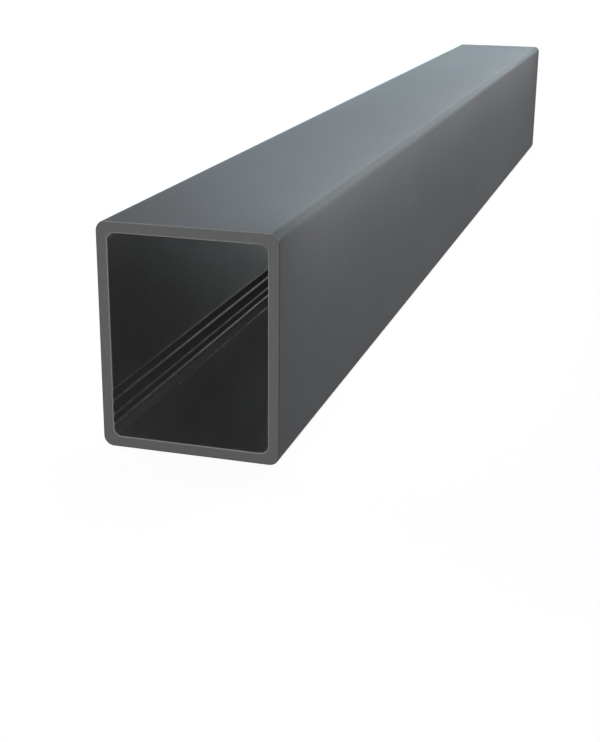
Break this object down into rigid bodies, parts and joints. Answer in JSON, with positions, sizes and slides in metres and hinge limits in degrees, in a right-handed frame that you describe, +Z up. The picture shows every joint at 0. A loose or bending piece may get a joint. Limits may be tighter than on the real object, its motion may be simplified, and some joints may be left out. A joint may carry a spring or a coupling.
{
  "type": "box section post",
  "caption": "Steel box section post: a hollow tube, slightly taller than wide, with small rounded corners, open sawn ends and a scarfed weld seam along one inner wall.",
  "frame": {"origin": "on the floor, under the middle of the piece as it lies", "axes": "+Y along the length, away from the near end; +Z up; X across the section, with the weld seam inside the -X wall, near the floor"},
  "size_m": [0.08, 0.86, 0.1],
  "materials": {
    "mill_steel": "satin mill finish, dark blue-grey"
  },
  "bodies": {
    "root": {"box_section": "mill_steel"}
  },
  "joints": []
}
